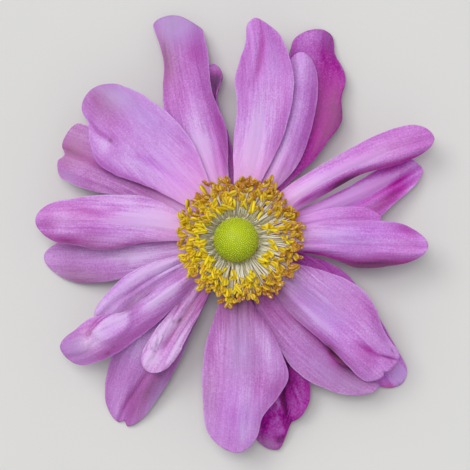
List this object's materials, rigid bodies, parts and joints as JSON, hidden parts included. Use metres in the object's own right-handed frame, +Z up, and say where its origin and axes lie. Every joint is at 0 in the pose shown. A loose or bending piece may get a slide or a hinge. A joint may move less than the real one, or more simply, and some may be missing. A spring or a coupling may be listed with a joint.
{
  "type": "japanese anemone flower",
  "caption": "Open flower with long pink petals in overlapping layers round a ring of yellow stamens and a green dome, cut with a short stalk end and lying face up.",
  "frame": {"origin": "on the ground, below the middle of the flower's bounding box", "axes": "+Z up along the flower's axis, out of its face; +Y along its longest way across, towards the top of the picture; +X to the right of the picture"},
  "size_m": [0.0678, 0.0748, 0.0149],
  "materials": {
    "tepal_pale": "soft, satin, lilac pink",
    "tepal_mid": "soft, satin, orchid pink",
    "tepal_deep": "soft, satin, deep magenta",
    "stalk": "downy, green",
    "pistil": "fine-grained, yellow-green",
    "stamen": "powdery, golden yellow"
  },
  "bodies": {
    "root": {"stalk": "stalk", "pistil_head": "pistil", "stamens": "stamen", "tepal_top": "tepal_pale", "tepal_upper_left": "tepal_pale", "tepal_left": "tepal_mid", "tepal_lower_left_ridge": "tepal_mid", "tepal_bottom": "tepal_pale", "tepal_lower_right": "tepal_pale", "tepal_right": "tepal_pale", "tepal_upper_right_strap": "tepal_mid", "tepal_top_left_strap": "tepal_pale", "tepal_top_narrow": "tepal_pale", "tepal_upper_left_under": "tepal_mid", "tepal_lower_left_folded": "tepal_mid", "tepal_bottom_left_flap": "tepal_pale", "tepal_lower_right_under": "tepal_mid", "tepal_right_small": "tepal_mid", "tepal_top_left_curled": "tepal_deep", "tepal_top_back": "tepal_deep", "tepal_left_under": "tepal_mid", "tepal_bottom_left_notched": "tepal_pale", "tepal_bottom_wrinkled": "tepal_deep", "tepal_lower_right_back": "tepal_deep", "tepal_right_flared": "tepal_mid"}
  },
  "joints": []
}
